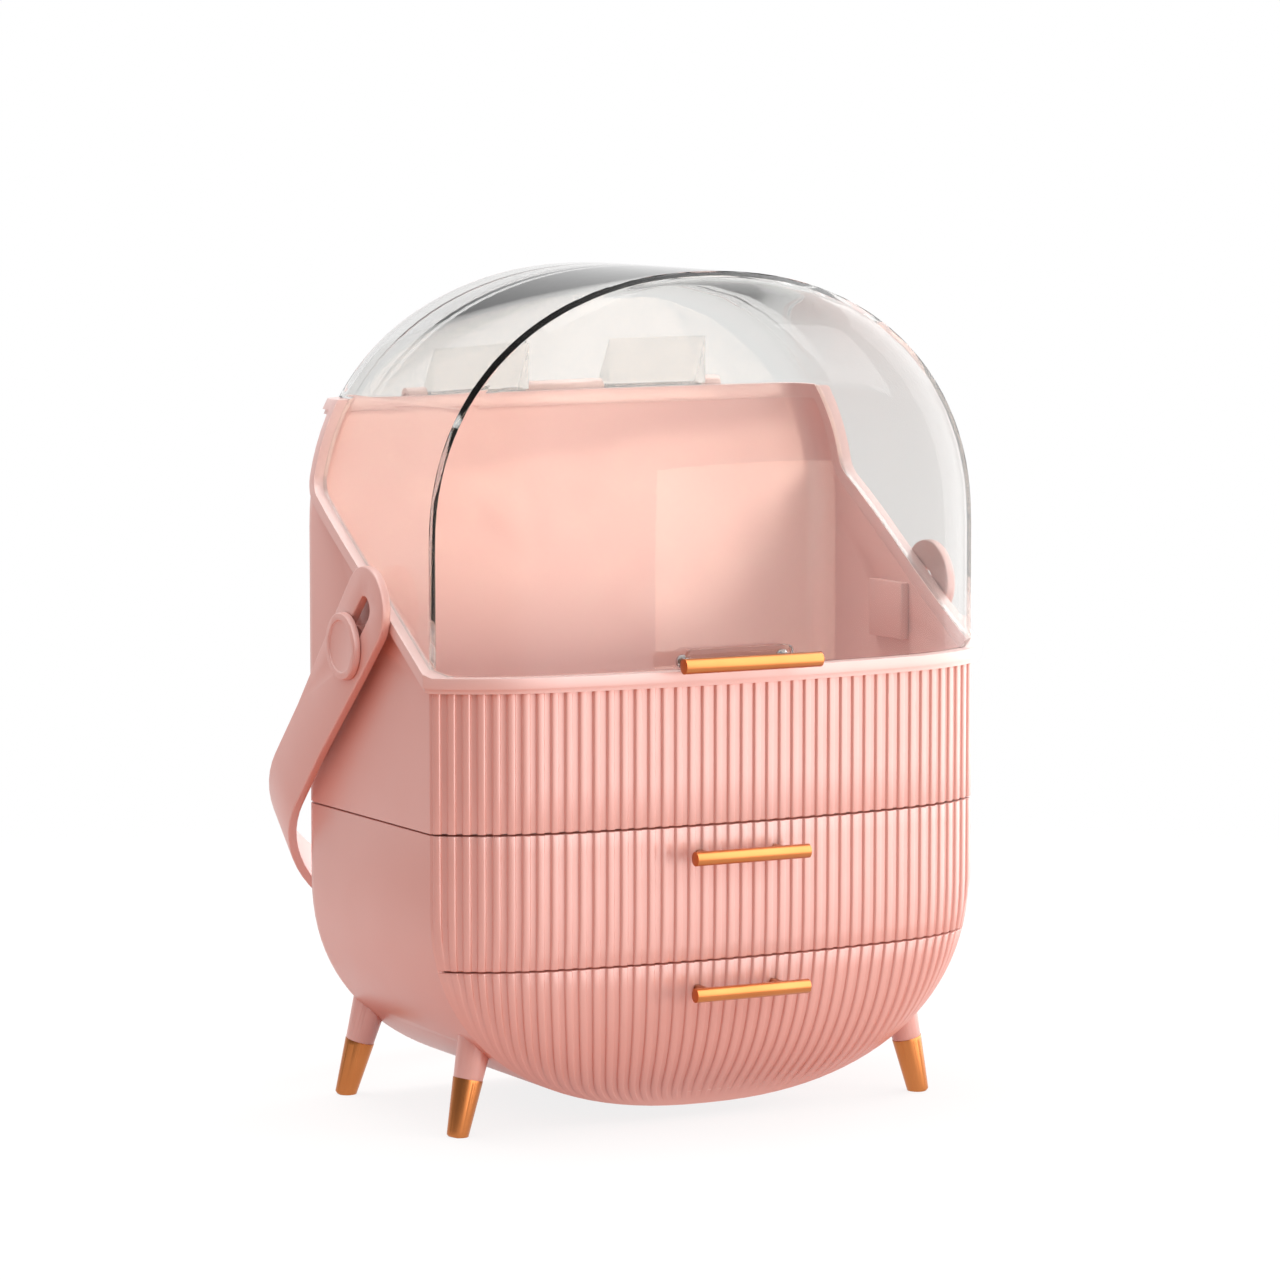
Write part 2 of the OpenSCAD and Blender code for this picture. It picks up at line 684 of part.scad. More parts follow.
// Fluted bowl-shaped front of the lower drawer, hollow behind
module lower_front() {
    top = split_z - front_gap / 2;
    color(pink) at_case() difference() {
        translate([0, -seat_gap, 0]) difference() {
            ribbed_front(concat([top], bowl_levels(top)));
            difference() {
                bowed_hollow(concat([top - wall], bowl_levels(top - wall, wall)), wall);
                at_lower_screws() rod_y(boss_d, -bow, seat_gap + plate_y - box_t);
            }
        }
        bar_seats(bar_len, lower_bar_z, front_y(lower_bar_z));
        at_lower_screws() rod_y(box_screw_d, -box_screw_len, 0);
    }
}

module upper_bar() { bar(bar_d, bar_len, upper_bar_z, front_y(upper_bar_z)); }
module lower_bar() { bar(bar_d, bar_len, lower_bar_z, front_y(lower_bar_z)); }
module upper_bar_screws() { bar_screws(bar_len, upper_bar_z, front_y(upper_bar_z) + wall); }
module lower_bar_screws() { bar_screws(bar_len, lower_bar_z, front_y(lower_bar_z) + wall); }

// Plate of a drawer box that closes the hollow behind its fluted front
module box_front(z0, z1) {
    inset = wall + plate_gap + box_t / tan(edge_angle);
    translate([0, plate_y, 0]) rotate([90, 0, 0]) linear_extrude(box_t) intersection() {
        polygon(egg(inset));
        translate([-reach / 2, z0]) square([reach, z1 - z0]);
    }
}

// Box of the upper drawer, hung on flanges beside its walls
module upper_box() {
    z0 = split_z + front_gap / 2 + wall + plate_gap;
    top = ledge_z + flange_t;
    w = a - wall - upper_side;
    color(pale_pink) at_case() difference() {
        union() {
            box_front(z0, joint_z - front_gap / 2 - wall - plate_gap);
            difference() {
                translate([-w, box_y, z0]) cube([2 * w, box_d, top - z0]);
                translate([box_t - w, plate_y, z0 + box_t])
                    cube([2 * (w - box_t), box_d + box_y - plate_y - box_t, top - z0]);
            }
            sides() translate([w, box_y, ledge_z]) cube([upper_side - side_free, box_d, flange_t]);
        }
        at_upper_screws() rod_y(box_screw_d, -box_screw_len, 1);
    }
}

// Box of the lower drawer, which follows the round of the shell
module lower_box() {
    skin = wall + lower_gap;
    color(pale_pink) at_case() difference() {
        union() {
            box_front(0, split_z - front_gap / 2 - wall - plate_gap);
            egg_strip(skin, skin + box_t, 0, lower_top, box_y, box_y + box_d);
            egg_strip(wall + runner_free, skin + 0.1, lower_top - flange_t, lower_top, box_y, box_y + box_d);
            // back wall
            translate([0, box_y + box_d, 0]) rotate([90, 0, 0]) linear_extrude(box_t) intersection() {
                polygon(egg(skin + box_t / 2));
                translate([-reach / 2, 0]) square([reach, lower_top]);
            }
        }
        at_lower_screws() rod_y(box_screw_d, -box_screw_len, 1);
    }
}

// Places of the screws between the drawer boxes and their fluted fronts
module at_upper_screws() {
    for (s = [-1, 1]) translate([s * (a - upper_screw_in), 0, (joint_z + split_z) / 2]) children();
}
module at_lower_screws() {
    for (s = [-1, 1]) translate([s * (a - lower_screw_in), 0, split_z - lower_screw_z]) children();
}

// One of these screws, with its head inside the box
module box_screw() {
    rod_y(box_screw_d, -box_screw_len, plate_y);
    rod_y(screw_head, plate_y, plate_y + box_head_h);
}
module upper_box_screws() { color("silver") at_case() at_upper_screws() box_screw(); }
module lower_box_screws() { color("silver") at_case() at_lower_screws() box_screw(); }

// ---------- handle ----------

// Boundary of the bow of the handle, from its left arm to its right arm
function bow_curve(x, len) = [for (i = [0 : bow_steps]) let (q = i * 180 / bow_steps)
    [-x * sign(cos(q)) * pow(abs(cos(q)), 2 / bow_full), arm_len + len * pow(sin(q), 2 / bow_full)]];

// U-shaped strap with its slotted ears
module handle_strap() {
    tail = slot_travel + ear_r;
    color(pink) at_case() at_handle() difference() {
        intersection() {
            translate([0, 0, -ear_r]) linear_extrude(2 * ear_r) difference() {
                polygon(concat([[-strap_out, -tail]], bow_curve(strap_out, bow_len + strap_t),
                               [[strap_out, -tail]]));
                polygon(concat([[-strap_in, -tail - 1]], bow_curve(strap_in, bow_len),
                               [[strap_in, -tail - 1]]));
            }
            // side view: round ear, drawn in to the width of the strap
            rotate([90, 0, 90]) translate([0, 0, -reach / 2]) linear_extrude(reach) {
                translate([-slot_travel, 0]) circle(ear_r, $fn = 96);
                polygon([[-slot_travel, -ear_r], [0, -ear_w / 2], [ear_taper, -strap_w / 2],
                         [reach, -strap_w / 2], [reach, strap_w / 2], [ear_taper, strap_w / 2],
                         [0, ear_w / 2], [-slot_travel, ear_r]]);
            }
        }
        // slots that the pivot pins run in
        rod_x(slot_w, -strap_out - 1, strap_out + 1);
        translate([0, -slot_travel, 0]) rod_x(slot_w, -strap_out - 1, strap_out + 1);
        translate([-strap_out - 1, -slot_travel, -slot_w / 2])
            cube([2 * strap_out + 2, slot_travel, slot_w]);
    }
}

// Buttons with their pins, which turn in the walls of the tray
module handle_pivots() {
    flange_x = a - wall - side_gap;
    head_x = strap_out + side_gap;
    color(pink) at_case() translate([0, pivot_y, pivot_z]) sides() difference() {
        union() {
            rod_x(pivot_d, flange_x - pivot_flange_t, head_x + 1);
            rod_x(flange_d, flange_x - pivot_flange_t, flange_x);
            translate([head_x, 0, 0]) rotate([0, 90, 0])
                cylinder(d1 = button_d, d2 = button_d - 1, h = button_h, $fn = 96);
        }
        // shallow dish in the face of the button
        rod_x(button_d - 2 * dish_rim, head_x + button_h - dish_depth, head_x + button_h + 1);
    }
}

// Spacer rings that hold the strap off the walls
module pivot_spacers() {
    color(pink) at_case() translate([0, pivot_y, pivot_z]) sides() difference() {
        rod_x(pivot_d + 7, a, strap_in - side_gap);
        rod_x(pivot_d + 2 * pivot_clear, a - 1, strap_in);
    }
}

// Retainers that close the pivots off inside the display compartment
module pivot_retainers() {
    color(pale_pink) at_case() translate([0, pivot_y, pivot_z]) sides() difference() {
        translate([a - wall - retainer_t, -retainer_w / 2, -retainer_low])
            cube([retainer_t, retainer_w, retainer_low + retainer_high]);
        rod_x(flange_d + 2 * pivot_clear, a - wall - pivot_flange_t - 2 * side_gap, a);
    }
}

// ---------- legs ----------

// Places of one leg: Z runs up its axis from the middle of the foot, leaning inwards
module leg_place(side, back) {
    translate([side * foot_x, back ? side_d - foot_back_y : foot_front_y, 0])
        scale([side, back ? -1 : 1, 1])
            rotate([back ? -splay_back : -splay_front, -splay_side, 0])
                translate([0, 0, -foot_flat]) children();
}

module each_leg() { for (s = [-1, 1]) for (b = [false, true]) leg_place(s, b) children(); }

// Tapered moulded leg, cut to the round of the shell
module leg(side, back) {
    grow = (cap_d - foot_d) / cap_len;
    color(pink) at_case() difference() {
        leg_place(side, back) translate([0, 0, cap_len]) difference() {
            cylinder(d1 = cap_d - 0.4, d2 = cap_d + leg_top * grow, h = leg_top, $fn = 48);
            translate([0, 0, -1]) cylinder(d = screw_d, h = leg_top + 2, $fn = 24);
        }
        egg_block(0, 0, side_d);
    }
}

// Metal cap, with a small flat to stand on and a blind hole for the stud
module cap(side, back) {
    color(gold) at_case() difference() {
        leg_place(side, back) difference() {
            union() {
                cylinder(d1 = foot_d - 2 * foot_edge, d2 = foot_d, h = foot_edge, $fn = 48);
                translate([0, 0, foot_edge])
                    cylinder(d1 = foot_d, d2 = cap_d, h = cap_len - foot_edge, $fn = 48);
            }
            translate([0, 0, cap_len - stud_grip]) cylinder(d = screw_d, h = stud_grip + 1, $fn = 24);
        }
        translate([-reach / 2, -reach / 2, -reach]) cube(reach);
    }
}

module leg_front_left() { leg(-1, false); }
module leg_front_right() { leg(1, false); }
module leg_back_left() { leg(-1, true); }
module leg_back_right() { leg(1, true); }
module cap_front_left() { cap(-1, false); }
module cap_front_right() { cap(1, false); }
module cap_back_left() { cap(-1, true); }
module cap_back_right() { cap(1, true); }

// Studs that clamp each cap and leg to the shell, flush with the inside of its wall
module leg_studs() {
    color("silver") at_case() difference() {
        each_leg() translate([0, 0, cap_len - stud_grip])
            cylinder(d = screw_d, h = stud_grip + leg_top, $fn = 24);
        egg_block(wall, -1, side_d - wall);
    }
}

tray();
rim_band();
lower_shell();
drawer_shelf();
upper_runners();
lower_runners();
hinge_knuckles();
hinge_pins();
pivot_spacers();
pivot_retainers();
leg_front_left();
leg_front_right();
leg_back_left();
leg_back_right();
cap_front_left();
cap_front_right();
cap_back_left();
cap_back_right();
leg_studs();
lid_dome();
lid_front();
lid_lugs();
lid_tab();
lid_bar();
lid_bar_screws();
upper_front();
upper_box();
upper_bar();
upper_bar_screws();
upper_box_screws();
lower_front();
lower_box();
lower_bar();
lower_bar_screws();
lower_box_screws();
handle_pivots();
handle_strap();
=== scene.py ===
# Egg-shaped cosmetic storage case: fluted drawers under a clear dome lid, with a carry handle.
import math

import bmesh
import bpy
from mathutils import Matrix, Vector


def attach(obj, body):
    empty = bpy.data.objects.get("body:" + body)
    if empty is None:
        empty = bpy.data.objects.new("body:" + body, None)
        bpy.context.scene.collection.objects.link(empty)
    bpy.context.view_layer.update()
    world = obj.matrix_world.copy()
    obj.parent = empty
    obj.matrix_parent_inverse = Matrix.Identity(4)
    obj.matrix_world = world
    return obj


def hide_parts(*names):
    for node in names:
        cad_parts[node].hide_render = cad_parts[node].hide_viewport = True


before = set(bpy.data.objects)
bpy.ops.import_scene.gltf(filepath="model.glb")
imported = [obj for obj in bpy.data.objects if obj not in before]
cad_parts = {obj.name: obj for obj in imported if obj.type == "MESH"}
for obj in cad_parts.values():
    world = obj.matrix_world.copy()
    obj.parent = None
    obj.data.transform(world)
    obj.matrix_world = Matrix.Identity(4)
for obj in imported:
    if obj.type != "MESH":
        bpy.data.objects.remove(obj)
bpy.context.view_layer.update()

# --- Tray: the upper body. One injection moulding in satin pink ABS, with a fluted bowed
# --- front wall, flat sides that rise to the back wall, and the display floor inside it.


class Signal:
    """A socket that adds its own nodes when it is used in an expression."""

    def __init__(self, finish, owner, out=0):
        self.finish, self.owner, self.out = finish, owner, out

    def __add__(self, other):
        return self.finish.maths("ADD", self, other)

    def __sub__(self, other):
        return self.finish.maths("SUBTRACT", self, other)

    def __rsub__(self, other):
        return self.finish.maths("SUBTRACT", other, self)

    def __mul__(self, other):
        return self.finish.maths("MULTIPLY", self, other)

    def __pow__(self, other):
        return self.finish.maths("POWER", self, other)

    def __gt__(self, other):
        return self.finish.maths("GREATER_THAN", self, other)

    def __getitem__(self, out):
        return Signal(self.finish, self.owner, out)

    __radd__ = __add__
    __rmul__ = __mul__


class Finish:
    """A material whose nodes all come from one method."""

    def __init__(self, name=None, tree=None):
        self.material = bpy.data.materials.new(name) if name else None
        if self.material:
            self.material.use_nodes = True
        self.tree = tree or self.material.node_tree
        self.tree.nodes.clear()

    def node(self, kind, settings=None, sockets=None, out=0):
        """Adds a node: its settings first, then the values or links of its sockets."""
        made = self.tree.nodes.new(kind)
        for name, value in (settings or {}).items():
            setattr(made, name, value)
        for name, value in (sockets or {}).items():
            if isinstance(value, Signal):
                self.tree.links.new(value.owner.outputs[value.out], made.inputs[name])
            else:
                made.inputs[name].default_value = value
        return Signal(self, made, out)

    def maths(self, operation, *terms):
        """A sum, product or comparison of values."""
        return self.node("ShaderNodeMath", {"operation": operation}, dict(enumerate(terms)))

    def place(self, scale=(1, 1, 1)):
        """Object coordinates, stretched along the axes."""
        spot = self.node("ShaderNodeTexCoord", out="Object")
        return self.node("ShaderNodeMapping", None, {"Vector": spot, "Scale": scale})

    def noise(self, size, detail=2.0, stretch=(1, 1, 1)):
        """Noise with patches of about a size in metres."""
        return self.node("ShaderNodeTexNoise", None, {
            "Vector": self.place(stretch), "Scale": 1 / size, "Detail": detail})

    def blend(self, share, low, high):
        """Colour between two colours, which are sockets 6 and 7 of the node."""
        return self.node("ShaderNodeMix", {"data_type": "RGBA"}, {0: share, 6: low, 7: high}, 2)

    def shade(self, sockets):
        """The shader of a plain finish, joined to the output."""
        surface = self.node("ShaderNodeBsdfPrincipled", None, sockets)
        self.node("ShaderNodeOutputMaterial", None, {"Surface": surface})
        return self.material


def srgb(red, green, blue):
    """Linear colour of an sRGB one given in steps of 255."""
    return tuple((c / 255 / 12.92) if c < 10.4 else ((c / 255 + 0.055) / 1.055) ** 2.4
                 for c in (red, green, blue)) + (1.0,)


def moulded(name, light, dark):
    """Satin moulded plastic: a fine spark-eroded grain and a faint drift of colour."""
    plastic = Finish(name)
    drift = plastic.noise(0.06)
    grain = plastic.noise(0.0006, 3.0)
    return plastic.shade({
        "Base Color": plastic.blend(drift, dark, light),
        "Roughness": 0.30 + 0.12 * plastic.noise(0.018),
        "IOR": 1.7,
        "Specular IOR Level": 1.0,
        "Normal": plastic.node("ShaderNodeBump", None, {
            "Strength": 0.10, "Distance": 0.00006, "Height": grain}),
    })


pink_plastic = moulded("satin pink plastic", srgb(231, 185, 177), srgb(227, 178, 169))

# Points nearer than WELD are one. Folds are in degrees: below FLAT two faces are one, and above
# CREASE, or FINE_CREASE on the flutes, they meet in an edge.
WELD, FLAT, CREASE, FINE_CREASE = 1e-6, 0.4, 32.0, 40.0


def settle(name, shape, finish, body, node=None, crease=CREASE):
    """Makes a piece of a finished bmesh, and lets it ride on its body."""
    mesh = bpy.data.meshes.new(name)
    shape.to_mesh(mesh)
    shape.free()
    mesh.shade_smooth()
    mesh.set_sharp_from_angle(angle=math.radians(crease))
    mesh.materials.append(finish)
    piece = bpy.data.objects.new(name, mesh)
    bpy.context.scene.collection.objects.link(piece)
    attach(piece, body)
    if node:
        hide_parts(node)


def cast(name, node, finish, body, round_off=0.0, steps=2, carve=None):
    """A fair copy of a CAD node: welded, its edges rounded off, and shaded smooth."""
    shape = bmesh.new()
    shape.from_mesh(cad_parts[node].data)
    bmesh.ops.remove_doubles(shape, verts=shape.verts, dist=WELD)
    bmesh.ops.dissolve_degenerate(shape, edges=shape.edges, dist=WELD)
    bmesh.ops.dissolve_limit(shape, angle_limit=math.radians(FLAT), verts=shape.verts,
                             edges=shape.edges, delimit={"NORMAL"})
    if carve:
        carve(shape)
    if round_off:
        sharp = [e for e in shape.edges
                 if len(e.link_faces) == 2 and e.calc_face_angle() > math.radians(CREASE)]
        bmesh.ops.bevel(shape, geom=sharp, offset=round_off, offset_type="OFFSET",
                        segments=steps, profile=0.5, affect="EDGES", clamp_overlap=True,
                        material=-1)
        bmesh.ops.dissolve_degenerate(shape, edges=shape.edges, dist=WELD)
    settle(name, shape, finish, body, node)


# Seen from above, the fluted front is a nearly flat bow with rounded shoulders.
HALF_WIDTH, CORNER_Y = 0.130, -0.08668288
BOW_RADIUS, BOW_HALF, SHOULDER_RADIUS = 0.580, 0.087, 0.085
BOW_ANGLE = math.asin(BOW_HALF / BOW_RADIUS)
END_ANGLE = math.asin(math.sin(BOW_ANGLE) + (HALF_WIDTH - BOW_HALF) / SHOULDER_RADIUS)
BOW_ARC = BOW_RADIUS * BOW_ANGLE
HALF_ARC = BOW_ARC + SHOULDER_RADIUS * (END_ANGLE - BOW_ANGLE)
SHOULDER_X = BOW_HALF - SHOULDER_RADIUS * math.sin(BOW_ANGLE)
SHOULDER_Y = BOW_RADIUS * (1 - math.cos(BOW_ANGLE)) + SHOULDER_RADIUS * math.cos(BOW_ANGLE)
BOW_DEPTH = SHOULDER_Y - SHOULDER_RADIUS * math.cos(END_ANGLE)

# Below its widest level it shrinks with the egg. Its depth follows one curve down to BOWL_TURN
# of the egg's width, and a steeper one from there to the bottom of the bowl.
WIDEST_Z, EGG_DROP, EGG_FULL = 0.099, 0.0926, 2.3
BOWL_TURN, BOWL_SLACK, BOWL_TURN_DEPTH, BOWL_FALL = 0.607, 2.9, 0.335, 3.5
JOINT_Z, JOINT_GAP, TRAY_TOP_Z, SKIN = 0.1297, 0.0008, 0.1885, 0.0007

# The flutes are round-edged pillars between flat grooves. PILLAR gives half a flute, from the
# middle of a groove to the middle of a crest, in shares of the pitch and of the height.
FLUTES, FLUTE_HEIGHT = 44, 0.0012
PILLAR = ((0.0, 0.0), (0.12, 0.0), (0.185, 0.06), (0.225, 0.5), (0.275, 0.88), (0.34, 1.0),
          (0.5, 1.0))
FLUTE_STEPS = 2 * (len(PILLAR) - 1)
PLAIN_STEPS = 64
# In a narrower level they move outwards: by the whole loss of width down to NEAR_FULL of it,
# and by a power of the loss below. CROWDING keeps them off the corners.
NEAR_FULL, GATHERING, CROWDING = 0.975, 0.7, 16
# They run out towards the lower edge, from 0.56 to 0.36 of the width, and towards the sides,
# over a margin that grows in the bowl. A lip's sinking ends close to the corner.
RUN_OUT, RUN_OUT_SPAN = 0.36, 0.2
MARGIN, BOWL_MARGIN, BOWL_MARGIN_Z, BOWL_MARGIN_DROP = 0.002, 0.026, 0.093, 0.050
LIP_END = 60


def unit(value):
    """A value held between 0 and 1."""
    return min(1.0, max(0.0, value))


def egg_share(z, inset=0.0):
    """Share of its full width that the egg has at a level."""
    down = unit((WIDEST_Z - z) / (EGG_DROP - inset))
    return (1 - down ** EGG_FULL) ** (1 / EGG_FULL)


def bowl_share(share):
    """Share of its full depth that the front has where the egg has a share of its width."""
    if share > BOWL_TURN:
        return share * (1 - BOWL_SLACK * (1 - share) ** 2)
    return BOWL_TURN_DEPTH * (share / BOWL_TURN) ** BOWL_FALL


def bow_point(along):
    """Plan point and angle of the bowed front, from -1 at the left corner to 1 at the right."""
    arc = abs(along) * HALF_ARC
    if arc < BOW_ARC:
        angle = arc / BOW_RADIUS
        x, y = BOW_RADIUS * math.sin(angle), BOW_RADIUS * (1 - math.cos(angle))
    else:
        angle = BOW_ANGLE + (arc - BOW_ARC) / SHOULDER_RADIUS
        x = SHOULDER_X + SHOULDER_RADIUS * math.sin(angle)
        y = SHOULDER_Y - SHOULDER_RADIUS * math.cos(angle)
    return math.copysign(x, along), y - BOW_DEPTH, math.copysign(angle, along)


def gather(along, share):
    """Moves a flute outwards in a narrower level, so that the flutes keep nearly upright."""
    if along == 0:
        return 0.0
    spread = 1 / share if share > NEAR_FULL else (share / NEAR_FULL) ** -GATHERING / NEAR_FULL
    near = (abs(along) * spread) ** -CROWDING + 1 - spread ** -CROWDING
    return math.copysign(near ** (-1 / CROWDING), along)


def fluted_place(step, z, sink):
    """Point of the fluted skin, sunk a little at a lip, or of the back edge of a flange."""
    turn = step % FLUTE_STEPS
    share, height = PILLAR[min(turn, FLUTE_STEPS - turn)]
    share = share if turn <= FLUTE_STEPS / 2 else 1 - share
    wide = egg_share(z)
    along = gather((step // FLUTE_STEPS + share) / FLUTES * 2 - 1, wide)
    x, y, angle = bow_point(along)
    if sink is None:
        return (x * wide, CORNER_Y, z)
    low = unit((wide - RUN_OUT) / RUN_OUT_SPAN)
    margin = MARGIN + BOWL_MARGIN * unit((BOWL_MARGIN_Z - z) / BOWL_MARGIN_DROP)
    side = min(1.0, (1 - abs(along)) * HALF_WIDTH * wide / margin)
    side = side * side * (3 - 2 * side)
    proud = FLUTE_HEIGHT * height * low * side - sink * min(1.0, (1 - abs(along)) * LIP_END)
    return (x * wide + proud * math.sin(angle),
            y * bowl_share(wide) - proud * math.cos(angle) + CORNER_Y, z)


def plain_place(step, z, sink, inset):
    """Point of the smooth skin behind the flutes."""
    x, y, angle = bow_point(step * 2 / PLAIN_STEPS - 1)
    wide = egg_share(z, inset)
    y = 0.0 if sink is None else y
    return (x * wide * (1 - inset / HALF_WIDTH),
            y * bowl_share(wide) * (1 - inset / BOW_DEPTH) + CORNER_Y, z)


def skin(shape, columns, levels, point):
    """A grid whose points are placed on a skin, a row at each level."""
    rows = len(levels) - 1
    grid = bmesh.ops.create_grid(shape, x_segments=columns, y_segments=rows, size=1)
    for vert in grid["verts"]:
        step, row = round((vert.co.x + 1) / 2 * columns), round((vert.co.y + 1) / 2 * rows)
        vert.co = point(step, *levels[row])


def lip(z, inwards):
    """Levels and sinks of the rounded lip of a joint, from its edge inwards."""
    return [(z, 0.00035), (z + inwards * 0.00012, 0.0001), (z + inwards * 0.0004, 0.0)]


# the plain ribs of the tray end up BURIED under the bow; points deeper than NEAR_BOW, near the
# corners' plane or below the joint belong to other walls
BURIED, NEAR_BOW, CORNER_CLEAR, JOINT_CLEAR = 0.0006, 0.0005, 0.0008, 0.002


def shave(shape):
    """Takes the plain ribs of the tray back under its fluted skin."""
    for vert in shape.verts:
        x, y = vert.co.x, vert.co.y - CORNER_Y
        if y > -CORNER_CLEAR or vert.co.z < JOINT_Z - JOINT_CLEAR:
            continue
        across, ahead, radius = abs(x), BOW_RADIUS - BOW_DEPTH - y, BOW_RADIUS
        if math.atan2(across, ahead) > BOW_ANGLE:
            across, ahead = across - SHOULDER_X, SHOULDER_Y - BOW_DEPTH - y
            radius = SHOULDER_RADIUS
        angle, proud = math.atan2(across, ahead), math.hypot(across, ahead) - radius
        if proud > -NEAR_BOW:
            back = proud + BURIED
            vert.co.x -= math.copysign(back * math.sin(angle), x)
            vert.co.y += back * math.cos(angle)


cast("tray_body", "tray", pink_plastic, "case", 0.0003, carve=shave)

tray_skin = bmesh.new()
tray_levels = lip(JOINT_Z + JOINT_GAP / 2, 1)
tray_levels += [(0.15, 0.0), (0.17, 0.0), (TRAY_TOP_Z - 0.0002, 0.0)]
skin(tray_skin, FLUTES * FLUTE_STEPS, tray_levels, fluted_place)
skin(tray_skin, PLAIN_STEPS, tray_levels, lambda step, z, sink: plain_place(step, z, 0.0, SKIN))
bmesh.ops.bridge_loops(tray_skin, edges=[e for e in tray_skin.edges if e.is_boundary])
bmesh.ops.recalc_face_normals(tray_skin, faces=tray_skin.faces)
settle("tray_fluted_skin", tray_skin, pink_plastic, "case", crease=FINE_CREASE)

# --- Rim band: a separate paler moulding that caps the rim all round, with a set-back lip
# --- below it. It is snapped over the walls of the tray.

rim_plastic = moulded("pale rim plastic", srgb(236, 203, 198), srgb(232, 197, 191))
cast("rim_moulding", "rim_band", rim_plastic, "case", 0.0006, 3)

# --- Lower shell: the rounded housing of both drawers, in the same satin pink. The shelf and
# --- the runners are welded inside it.

cast("shell_body", "lower_shell", pink_plastic, "case", 0.0003)
cast("shelf_plate", "drawer_shelf", pink_plastic, "case", 0.0004)
cast("upper_rails", "upper_runners", pink_plastic, "case", 0.0004)
cast("lower_rails", "lower_runners", pink_plastic, "case", 0.0004)

# --- Hinges: knuckles moulded on the back of the rim, with lugs of clear acrylic between them
# --- and polished steel pins pressed through both.


def steel_finish():
    """Bright turned steel."""
    steel = Finish("bright steel")
    turned = steel.noise(0.0005, 2.0, (1, 1, 0.2))
    return steel.shade({
        "Base Color": srgb(196, 198, 202),
        "Metallic": 1.0,
        "Roughness": 0.18 + 0.14 * turned,
    })


bright_steel = steel_finish()
cast("hinge_sockets", "hinge_knuckles", rim_plastic, "case", 0.0006)
cast("hinge_rods", "hinge_pins", bright_steel, "case", 0.0003)

# --- Legs: four tapered pegs of the pink plastic, splayed outwards, each standing in a deep
# --- cap of satin gold metal and clamped to the shell by a steel stud.


def gold_finish():
    """Satin gold plating with fine drawing lines round the part."""
    gold = Finish("satin gold")
    lines = gold.noise(0.0009, 4.0, (1, 1, 6))
    patch = gold.noise(0.02)
    return gold.shade({
        "Base Color": gold.blend(patch, srgb(186, 112, 62), srgb(202, 128, 76)),
        "Metallic": 1.0,
        "Roughness": 0.27 + 0.10 * lines,
        "Normal": gold.node("ShaderNodeBump", None, {
            "Strength": 0.08, "Distance": 0.00004, "Height": lines}),
    })


satin_gold = gold_finish()
for end in ("front", "back"):
    for side in ("left", "right"):
        place = f"{end}_{side}"
        cast(f"peg_{place}", f"leg_{place}", pink_plastic, "case", 0.0004)
        cast(f"foot_{place}", f"cap_{place}", satin_gold, "case", 0.0005)
cast("leg_bolts", "leg_studs", bright_steel, "case", 0.0002)

# --- Lid: a dome of clear acrylic, vacuum formed, with a bowed front panel bonded into its
# --- front edge. The hinge lugs and the finger tab are bonded on.


def acrylic_finish():
    """Clear acrylic: polished, with a painted grey shade where it is seen along its surface."""
    acrylic = Finish("clear acrylic")
    # painted shade: the colour turns grey where the sheet is seen edge-on, standing in for the
    # darker reflections and the second layer seen there
    edge = acrylic.node("ShaderNodeLayerWeight", None, {"Blend": 0.35}, "Facing")
    body = acrylic.node("ShaderNodeBsdfPrincipled", None, {
        "Base Color": acrylic.blend(edge ** 2.0, srgb(237, 237, 236), srgb(198, 196, 193)),
        "Roughness": 0.02 + 0.02 * acrylic.noise(0.03),
        "IOR": 1.12,
        "Transmission Weight": 1.0,
        "Coat Weight": 0.3,
        "Coat Roughness": 0.02,
        "Coat IOR": 1.49,
    })
    # light passes through the clear sheet, so that it throws hardly any shadow
    rays = acrylic.node("ShaderNodeLightPath", out="Is Shadow Ray")
    open_air = acrylic.node("ShaderNodeBsdfTransparent", None, {"Color": (0.9, 0.9, 0.9, 1)})
    surface = acrylic.node("ShaderNodeMixShader", None, {0: rays, 1: body, 2: open_air})
    acrylic.node("ShaderNodeOutputMaterial", None, {"Surface": surface})
    return acrylic.material


clear_acrylic = acrylic_finish()
CASE_DEPTH, BOND, TOUCH = 0.126, 0.0001, 0.0002


def part_from(wall_y, gap):
    """Leaves a hair of air at a wall of the roof, where the real pieces are bonded."""
    def part(shape):
        for vert in shape.verts:
            if abs(vert.co.y - wall_y) < TOUCH:
                vert.co.y += gap
    return part


free_panel = part_from(CORNER_Y, -BOND)
free_lugs = part_from(CORNER_Y + CASE_DEPTH, BOND)


cast("lid_roof", "lid_dome", clear_acrylic, "lid")
cast("lid_panel", "lid_front", clear_acrylic, "lid", carve=free_panel)
cast("lid_hinge_lugs", "lid_lugs", clear_acrylic, "lid", carve=free_lugs)
cast("lid_finger_tab", "lid_tab", clear_acrylic, "lid", 0.0003)

# --- Bars: round satin gold rods with two posts each, one on the lid and one on each drawer.
# --- Steel screws hold the posts from behind.

for part, body in (("lid", "lid"), ("upper", "drawer_upper"), ("lower", "drawer_lower")):
    cast(f"{part}_pull", f"{part}_bar", satin_gold, body, 0.0004)
    cast(f"{part}_pull_screws", f"{part}_bar_screws", bright_steel, body, 0.0002)

# --- Drawers: each a fluted bowed front in the pink, screwed to the plate of a paler box that
# --- hangs on its flanges.

SPLIT_Z, WALL = 0.0724, 0.003


